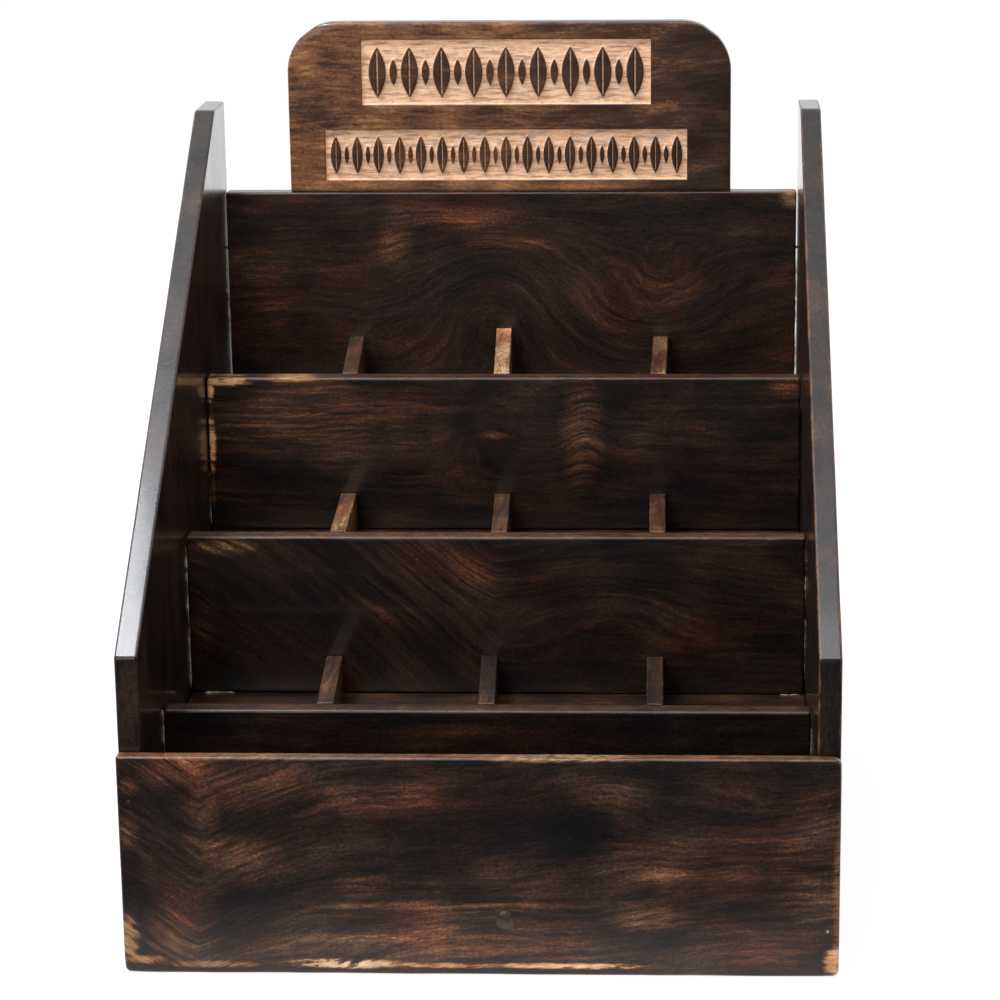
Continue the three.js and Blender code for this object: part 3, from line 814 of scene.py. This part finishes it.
def headerFinish(low, high):
    material, g = newMaterial("headerWood")
    place = g.places()
    along = (place["x"] - low.x) * perMetre
    across = (high.z - place["z"]) * perMetre
    depth = (place["y"] - low.y) * perMetre
    here = (along, across, depth)
    broad = g.layer(headerFigure["broad"], here, (5, 0, 0), 1.5)
    flow = across + (broad - 0.5) * headerStain["wander"]
    inGrain = (along, flow, depth)
    streak = g.layer(headerFigure["streak"], inGrain, (0, 3, 0), 5.0, 0.6)
    grit = g.layer(headerFigure["grit"], here, (0, 0, 5), 3.0, 0.75)
    fleck = g.layer(headerFigure["fleck"], inGrain, (0, 0, 8), 3.0, 0.6)
    fibre = g.layer(headerFigure["fibre"], inGrain, (0, 0, 0), 2.0, 0.6)
    pores = ((g.layer(headerFigure["pore"], inGrain, (0, 0, 9), 1.0) - poreShare) * 9).held()
    cloud = g.layer(headerFigure["cloud"], inGrain, (2, 0, 0))
    toRight = (along / ((high.x - low.x) * perMetre) - 0.55).most(0.0) / 0.45
    belowField = (1 - abs(across - headerStain["footGlow"]) / 9).held()
    tone = (headerStain["tone"] + (streak - 0.5) * 0.75 + (cloud - 0.5) * 0.8 + (fleck - 0.5) * 0.35
            + (fibre - 0.5) * 0.2 + (grit - 0.5) * 0.5 - pores * 0.12
            - toRight * headerStain["rightShade"] + belowField * 0.14)
    inField = 0.0 * along
    for field in header["fields"]:
        beside = field["width"] / 2 - abs(place["x"] - field["x"] * mm) * perMetre
        above = field["height"] / 2 - abs(place["z"] - field["z"] * mm) * perMetre
        inField = inField.most((beside.least(above) * 4).held())
    onFace = (1 - (depth - 1.0).most(0.0) * 9).held()
    inField = inField * ((high.y - low.y) * perMetre / 2 - depth).held()
    tone = tone + inField * (headerStain["leafTone"] - (tone - headerStain["tone"]) * 0.4)
    stained = g.node("ShaderNodeValToRGB", {"stops": headerStain["stops"]}, {0: tone.held()})
    plough = g.layer(headerFigure["plough"], here, (0, 0, 0), 3.0, 0.65)
    raw = g.blend(((plough - 0.38) * 4).held(), headerStain["rawDark"], headerStain["rawLight"])
    burnt = g.layer(headerFigure["burnt"], here, (7, 0, 0), 3.0, 0.6)
    raw = g.blend(((burnt - 0.50) * 7).held() * 0.65, raw, headerStain["burnt"])
    speck = g.layer(headerFigure["speck"], here, (3, 0, 0), 3.0, 0.7)
    raw = g.blend(((speck - 0.56) * 8).held() * 0.5, raw, headerStain["speck"])
    ground = ((depth - 0.55) * 1.5).held() * inField
    colour = g.blend(ground, stained, raw)
    roughness = 0.30 + (streak - 0.5) * 0.14 + pores * 0.15 + ground * 0.42
    height = fibre * 0.035 + streak * 0.04 - pores * 0.05 + ground * plough * 0.10
    finishSurface(g, {
        "Base Color": colour, "Roughness": roughness.held(), "Normal": g.bump(height, mm, grainDepth),
        "Coat Weight": (1 - ground) * onFace * headerStain["coat"],
        "Coat Roughness": stain["coatRoughness"], "Specular IOR Level": stain["sheenLevel"],
    })
    return material


headerLow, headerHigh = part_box("header_board")
headerPiece = addPiece("headerBoard", headerMesh(headerLow, headerHigh),
                       headerFinish(headerLow, headerHigh), ["header_board"])
print("header board done:", len(headerPiece.data.polygons), "faces")


# Fasteners. A turned piece is a tube of rings along an axis, its radius a function of angle and distance.
def turnedMesh(name, start, direction, length, rows, sides, radiusAt):
    bm = bmesh.new()
    turn = Vector((0, 0, 1)).rotation_difference(direction).to_matrix()
    rings = []
    for row in range(rows + 1):
        t = row / rows
        ring = []
        for side in range(sides):
            angle = 2 * math.pi * side / sides
            radius = radiusAt(angle, t)
            local = Vector((radius * math.cos(angle), radius * math.sin(angle), t * length))
            ring.append(bm.verts.new(start + turn @ local))
        rings.append(ring)
    skinRings(bm, rings)
    return meshFrom(bm, name)


steel = {"bright": (0.52, 0.52, 0.50, 1), "rust": (0.20, 0.09, 0.05, 1), "draw": 900, "rustSpots": 260}
beech = {"dark": (0.52, 0.34, 0.19, 1), "pale": (0.70, 0.50, 0.30, 1), "fleck": (0.36, 0.20, 0.10, 1)}


def steelFinish():
    material, g = newMaterial("wireSteel")
    place = g.places()
    draw, spots = steel["draw"], steel["rustSpots"]
    drawn = g.mottle(place["x"] * draw, place["y"] * draw, place["z"] * draw, 2.0)
    rust = g.mottle(place["x"] * spots, place["y"] * spots + 4, place["z"] * spots, 3.0)
    rusted = ((rust - 0.56) * 6).held()
    colour = g.blend(rusted, steel["bright"], steel["rust"])
    finishSurface(g, {
        "Base Color": colour, "Metallic": 1 - rusted * 0.7,
        "Roughness": 0.28 + drawn * 0.2 + rusted * 0.3, "Normal": g.bump(drawn, 0.00003),
    })
    return material


def paleDowelFinish():
    material, g = newMaterial("dowelBeech")
    place = g.places()
    fibre = g.mottle(place["x"] * 1400, place["y"] * 1400, place["z"] * 60, 3.0)
    fleck = g.mottle(place["x"] * 500, place["y"] * 500, place["z"] * 120, 2.0)
    colour = g.blend(fibre, beech["dark"], beech["pale"])
    colour = g.blend(((fleck - 0.6) * 6).held() * 0.4, colour, beech["fleck"])
    finishSurface(g, {"Base Color": colour, "Roughness": 0.6 + fleck * 0.15,
                      "Normal": g.bump(fibre, 0.00005)})
    return material


fastener = {
    "bradHead": 0.97, "bradShank": 0.8, "bradSides": 16,
    "headShare": 0.035, "ribShare": 0.35, "pointShare": 0.1,    # of a brad's length
    "screwCone": 1.8, "screwNeck": 1.55, "neckEnd": 6, "screwCore": 1.35,
    "threadPitch": 1.6, "threadRise": 0.28, "dowelFlutes": 12, "dowelFlute": 0.12,
}
wireSteel = steelFinish()
pinNodes = sorted(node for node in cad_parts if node.startswith("brad_"))


def pinRadius(angle, t):
    if t < fastener["headShare"]:
        return fastener["bradHead"] * mm
    if t > 1 - fastener["pointShare"]:
        return max(0.05, (1 - t) / fastener["pointShare"] * fastener["bradShank"]) * mm
    ribbed = 0.04 * math.sin(t * 110) if t < fastener["ribShare"] else 0
    return (fastener["bradShank"] + ribbed) * mm


for node in pinNodes:
    low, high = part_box(node)
    centre = (low + high) / 2
    size = high - low
    if size.x > size.y:
        inward = Vector((-math.copysign(1, centre.x), 0, 0))
        start = Vector((high.x if centre.x > 0 else low.x, centre.y, centre.z))
        length = size.x
    else:
        inward = Vector((0, 1, 0))
        start = Vector((centre.x, low.y, centre.z))
        length = size.y
    mesh = turnedMesh(camelName(node), start, inward, length, 56, fastener["bradSides"], pinRadius)
    addPiece(camelName(node), mesh, wireSteel, [node])

low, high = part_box("front_screw")
screwLength = (high.y - low.y) * perMetre
screwHead = (high.x - low.x) / 2 * perMetre


def screwRadius(angle, t):
    along = t * screwLength
    if along < fastener["screwCone"]:
        return (screwHead - 0.55 * along) * mm
    if along < fastener["neckEnd"]:
        return fastener["screwNeck"] * mm
    thread = ((along / fastener["threadPitch"] - angle / (2 * math.pi)) % 1.0 - 0.5) * 2
    tip = min(1.0, (screwLength - along) / 5 + 0.04)
    return (fastener["screwCore"] + fastener["threadRise"] * max(0.0, 1 - abs(thread) * 2.2)) * tip * mm


screwStart = Vector(((low.x + high.x) / 2, low.y, (low.z + high.z) / 2))
screwMesh = turnedMesh("frontScrew", screwStart, Vector((0, 1, 0)), high.y - low.y, 150, 24, screwRadius)
addPiece("frontScrew", screwMesh, wireSteel, ["front_screw"])

dowelBeech = paleDowelFinish()
for place in ("left", "right"):
    node = "header_dowel_" + place
    low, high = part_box(node)
    centre = (low + high) / 2
    full = (high.x - low.x) / 2

    def dowelRadius(angle, t):
        chamfer = min(1.0, 0.86 + 5 * min(t, 1 - t))
        flute = fastener["dowelFlute"] * mm * (0.5 + 0.5 * math.cos(angle * fastener["dowelFlutes"]))
        return (full - flute) * chamfer

    start = Vector((centre.x, centre.y, low.z))
    mesh = turnedMesh(camelName(node), start, Vector((0, 0, 1)), high.z - low.z, 36, 96, dowelRadius)
    addPiece(camelName(node), mesh, dowelBeech, [node])
print("fasteners done:", len(pinNodes), "brads")

# Wooden plug over the front screw, and filler pressed over each brad.
filler = {
    "radius": 1.7, "frontRadius": 1.1, "spread": 0.25, "dome": 0.07, "foot": 0.4,
    "dark": ((0.012, 0.008, 0.007, 1), (0.030, 0.021, 0.017, 1)),
    "grey": ((0.05, 0.045, 0.04, 1), (0.30, 0.28, 0.24, 1)),
    "grains": 900,    # to the metre
}


def fillerFinish(name, dark, pale):
    material, g = newMaterial(name)
    place = g.places()
    scale = filler["grains"]
    grit = g.mottle(place["x"] * scale, place["y"] * scale, place["z"] * scale, 3.0, 0.65)
    wide = scale / 4
    patchy = g.mottle(place["x"] * wide, place["y"] * wide, place["z"] * wide + 3, 2.0)
    colour = g.blend(((grit + patchy - 0.75) * 2).held(), dark, pale)
    finishSurface(g, {"Base Color": colour, "Roughness": 0.55 + grit * 0.25,
                      "Normal": g.bump(grit, 0.00006)})
    return material


def smearDisc(bm, centre, outward, radius, rise, seed, rings=5, sides=28):
    # a low irregular dome; its foot goes below the board's face
    turn = Vector((0, 0, 1)).rotation_difference(outward).to_matrix()
    loops = []
    for ring in range(rings):
        share = 1 - ring / rings
        loop = []
        for side in range(sides):
            angle = 2 * math.pi * side / sides
            wobble = noise.noise(Vector((math.cos(angle), math.sin(angle), seed * 1.7)) * 1.3)
            reach = radius * share * (1 + filler["spread"] * wobble)
            level = rise * (1 - share ** 4) - (filler["foot"] * mm if ring == 0 else 0)
            local = Vector((reach * math.cos(angle), reach * math.sin(angle), level))
            loop.append(bm.verts.new(centre + turn @ local))
        loops.append(loop)
    skinRings(bm, loops)


darkFiller = fillerFinish("darkFiller", *filler["dark"])
for place, sign in (("left", -1), ("right", 1)):
    bm = bmesh.new()
    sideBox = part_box("side_" + place)
    face = sideBox[0].x if sign < 0 else sideBox[1].x
    for index, node in enumerate(n for n in pinNodes if n.startswith("brad_" + place)):
        low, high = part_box(node)
        centre = (low + high) / 2
        centre.x = face - sign * filler["dome"] * mm
        smearDisc(bm, centre, Vector((sign, 0, 0)), filler["radius"] * mm, filler["dome"] * mm,
                  index + 5 * sign)
    name = "bradFiller" + place.capitalize()
    addPiece(name, meshFrom(bm, name), darkFiller)
greyFiller = fillerFinish("greyFiller", *filler["grey"])
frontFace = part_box("front_board")[0].y
for index, node in enumerate(n for n in pinNodes if n.startswith("brad_front")):
    low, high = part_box(node)
    centre = (low + high) / 2
    centre.y = frontFace + filler["dome"] * mm
    bm = bmesh.new()
    smearDisc(bm, centre, Vector((0, -1, 0)), filler["frontRadius"] * mm, filler["dome"] * mm, 40 + index)
    name = camelName(node) + "Filler"
    addPiece(name, meshFrom(bm, name), greyFiller if node == "brad_front_right_low" else darkFiller)

low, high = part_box("front_plug")
plugCentre = (low + high) / 2
plugRadius = (high.x - low.x) / 2


def plugSide(angle, t):
    return plugRadius * (0.965 + 0.03 * min(1.0, t * 12))


plugStart = Vector((plugCentre.x, low.y, plugCentre.z))
plugMesh = turnedMesh("frontPlug", plugStart, Vector((0, 1, 0)), high.y - low.y, 24, 48, plugSide)
plugLook = {"seed": 30.0, "redFrom": 0.9, "tone": 0.46, "streaks": 0.16, "blotches": 0.12, "edgeWear": 2.2,
            "gloss": -0.1}
plugWood = woodFinish("plugWood", (low, high), (("z", 1), ("x", 1), ("y", 1)), plugLook)
addPiece("frontPlug", plugMesh, plugWood, ["front_plug"])
print("filler and plug done")

# Dried glue squeezed out of the joints.
gluePaint = {"pale": (0.55, 0.52, 0.44, 1), "aged": (0.17, 0.12, 0.08, 1)}
glueStep = 0.8      # mm from ring to ring
glueSides = 8
glueDrift = 0.25    # mm


def glueFinish():
    material, g = newMaterial("driedGlue")
    place = g.places()
    clot = g.mottle(place["x"] * 300, place["y"] * 300, place["z"] * 220, 3.0)
    colour = g.blend(((clot - 0.42) * 4).held(), gluePaint["aged"], gluePaint["pale"])
    finishSurface(g, {"Base Color": colour, "Roughness": 0.35 + clot * 0.3,
                      "Normal": g.bump(clot, 0.0001)})
    return material


def glueBead(name, start, end, thick, gap, seed, material):
    # an uneven strip along a joint, thick, thin and broken by turns
    bm = bmesh.new()
    span = end - start
    steps = max(8, int(span.length * perMetre / glueStep))
    direction = span.normalized()
    side = direction.orthogonal().normalized()
    other = direction.cross(side)
    angles = [2 * math.pi * s / glueSides for s in range(glueSides)]
    rings = []
    for k in range(steps + 1):
        t = k / steps
        here = start + span * t
        swell = noise.noise(Vector((t * span.length * 90, seed * 3.7, 0.5)))
        clot = noise.noise(Vector((t * span.length * 420, seed * 1.3, 9.5)))
        taper = min(1, 12 * min(t, 1 - t) + 0.1)
        radius = thick * mm * max(0.05, 0.6 + 0.9 * swell + 0.5 * clot - gap) * taper
        drift = (side * clot + other * swell) * glueDrift * mm
        rings.append([bm.verts.new(here + drift + (side * math.cos(a) + other * math.sin(a)) * radius)
                      for a in angles])
    skinRings(bm, rings)
    addPiece(name, meshFrom(bm, name), material)


driedGlue = glueFinish()
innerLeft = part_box("side_left")[1].x
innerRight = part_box("side_right")[0].x
# name, the board whose face it runs along, side, mm below its top to start and end, thickness, gap
glueUpright = [
    ("glueMiddleLeft", "riser_middle", "left", 3, 88, 0.55, 0.12),
    ("glueFrontLeft", "riser_front", "left", 0, 30, 0.50, 0.0),
    ("glueFrontRight", "riser_front", "right", 1, 24, 0.38, 0.1),
    ("glueMiddleRight", "riser_middle", "right", 6, 80, 0.34, 0.25),
    ("glueRearLeft", "riser_rear", "left", 50, 86, 0.32, 0.2),
    ("glueBackLeft", "back_panel", "left", 30, 110, 0.40, 0.25),
    ("glueBackRight", "back_panel", "right", 40, 108, 0.38, 0.25),
]
for index, (name, node, side, first, last, thick, gap) in enumerate(glueUpright):
    low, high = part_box(node)
    x = innerLeft + 0.25 * mm if side == "left" else innerRight - 0.25 * mm
    y = low.y - 0.05 * mm
    glueBead(name, Vector((x, y, high.z - first * mm)), Vector((x, y, high.z - last * mm)),
             thick, gap, index + 1, driedGlue)
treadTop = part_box("tread_front")[1].z
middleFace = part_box("riser_middle")[0].y
for name, first, last, thick in (("glueFootLeft", 7, 24, 0.9), ("glueFootRight", 322, 333, 0.6)):
    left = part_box("riser_middle")[0].x
    start = Vector((left + first * mm, middleFace - 0.1 * mm, treadTop + 0.1 * mm))
    end = Vector((left + last * mm, start.y, start.z))
    glueBead(name, start, end, thick, 0.05, first, driedGlue)
print("glue done")

# Camera, light and floor.
view = {
    "place": (0.100687, -1.629954, 0.636878),
    "down": 15.052, "turn": -2.129, "roll": -0.45,   # degrees
    "lens": 111.855, "shift": -0.07,
}
light = {
    "sky": 0.72,            # even light from all round
    "frontGlow": 0.05,      # what the lacquer mirrors from the front
    "backGlow": 1.25,       # and from behind
    "topGlow": 0.25,
    "rearFrom": -0.15, "topFrom": 0.35, "glowRise": 1.6,    # where those two begin, and how fast
    "softbox": (-0.10, -0.32, 1.70), "softboxSize": (1.4, 0.5), "softboxPower": 10.0,
    "sideBox": (-0.65, -0.27, 1.68), "sideBoxSize": (0.6, 0.5), "sideBoxPower": 22.0,
    "fill": (-0.7, -1.9, 1.2), "fillSize": (1.2, 1.2), "fillPower": 10.0,
    "floorWhite": 0.84, "floorShade": 0.28, "floorSize": 30.0, "floorDrop": 0.0002,
    "floorMirroredFront": 0.05, "floorMirroredFoot": 0.90, "footReach": 0.11, "floorMirroredBack": 1.5,
    "floorBackFrom": 0.17, "floorBackRise": 8,
}


def addCamera():
    down, turn, roll = (math.radians(view[key]) for key in ("down", "turn", "roll"))
    forward = Vector((math.sin(turn) * math.cos(down), math.cos(turn) * math.cos(down), -math.sin(down)))
    level = Vector((math.cos(turn), -math.sin(turn), 0))
    upright = level.cross(forward)
    right = level * math.cos(roll) + upright * math.sin(roll)
    up = upright * math.cos(roll) - level * math.sin(roll)
    data = bpy.data.cameras.new("camera")
    data.lens = view["lens"]
    data.sensor_width = 36
    data.shift_x = view["shift"]
    data.clip_start = 0.05
    data.clip_end = 100
    camera = bpy.data.objects.new("camera", data)
    scene.collection.objects.link(camera)
    turned = Matrix((right, up, -forward)).transposed().to_4x4()
    turned.translation = Vector(view["place"])
    camera.matrix_world = turned
    scene.camera = camera


def addAreaLight(name, place, size, power, aim, colour):
    data = bpy.data.lights.new(name, "AREA")
    data.shape = "RECTANGLE"
    data.size, data.size_y = size
    data.energy = power
    data.color = colour
    lamp = bpy.data.objects.new(name, data)
    scene.collection.objects.link(lamp)
    lamp.location = place
    lamp.rotation_mode = "QUATERNION"
    lamp.rotation_quaternion = (Vector(aim) - Vector(place)).to_track_quat("-Z", "Y")


def setWorld():
    world = bpy.data.worlds.new("studio")
    world.use_nodes = True
    scene.world = world
    g = Graph(world.node_tree)
    direction = g.node("ShaderNodeTexCoord", output="Generated")
    split = g.node("ShaderNodeSeparateXYZ", None, {0: direction})
    rear = ((split.take(1) - light["rearFrom"]) * light["glowRise"]).held()
    above = ((split.take(2) - light["topFrom"]) * light["glowRise"]).held()
    mirrored = light["frontGlow"] + rear * light["backGlow"] + above * light["topGlow"]
    path = g.node("ShaderNodeLightPath")
    shiny = path.take("Is Glossy Ray")
    seen = path.take("Is Camera Ray")
    strength = light["sky"] + (mirrored - light["sky"]) * shiny
    strength = strength + (1.0 - strength) * seen
    background = g.node("ShaderNodeBackground", None, {"Color": (1, 1, 1, 1), "Strength": strength})
    g.node("ShaderNodeOutputWorld", None, {"Surface": background})


def addFloor():
    size = light["floorSize"]
    mesh = bpy.data.meshes.new("floor")
    corners = [(-size, -size), (size, -size), (size, size), (-size, size)]
    mesh.from_pydata([(x, y, -light["floorDrop"]) for x, y in corners], [], [(0, 1, 2, 3)])
    material, g = newMaterial("paleFloor")
    shiny = g.node("ShaderNodeLightPath", output="Is Glossy Ray")
    front, back = light["floorMirroredFront"], light["floorMirroredBack"]
    y = g.places()["y"]
    byFoot = ((y - cadLow[1]) / light["footReach"] + 1).held()   # the floor just before the rack
    beside = front + byFoot * (light["floorMirroredFoot"] - front)
    behind = ((y - light["floorBackFrom"]) * light["floorBackRise"]).held()
    mirrored = beside + behind * (back - beside)
    strength = light["floorWhite"] + (mirrored - light["floorWhite"]) * shiny
    shade = light["floorShade"]
    matt = g.node("ShaderNodeBsdfDiffuse", None, {"Color": (shade, shade, shade, 1)})
    glow = g.node("ShaderNodeEmission", None, {"Color": (1, 1, 1, 1), "Strength": strength})
    none = g.node("ShaderNodeBsdfDiffuse", None, {"Color": (0, 0, 0, 1)})
    matt = g.node("ShaderNodeMixShader", None, {0: shiny, 1: matt, 2: none})
    both = g.node("ShaderNodeAddShader", None, {0: matt, 1: glow})
    g.node("ShaderNodeOutputMaterial", None, {"Surface": both})
    floor = bpy.data.objects.new("floor", mesh)
    scene.collection.objects.link(floor)
    mesh.materials.append(material)


scene.view_settings.view_transform = "Standard"
scene.view_settings.look = "None"
addCamera()
coolWhite = (0.92, 0.95, 1.0)
for lamp, aim, colour in (("softbox", (-0.1, -0.3, 0), coolWhite), ("sideBox", (-0.5, -0.25, 0), coolWhite),
                          ("fill", (0, 0, 0.2), (1.0, 0.98, 0.95))):
    addAreaLight(lamp, light[lamp], light[lamp + "Size"], light[lamp + "Power"], aim, colour)
setWorld()
addFloor()
print("camera, light and floor done")
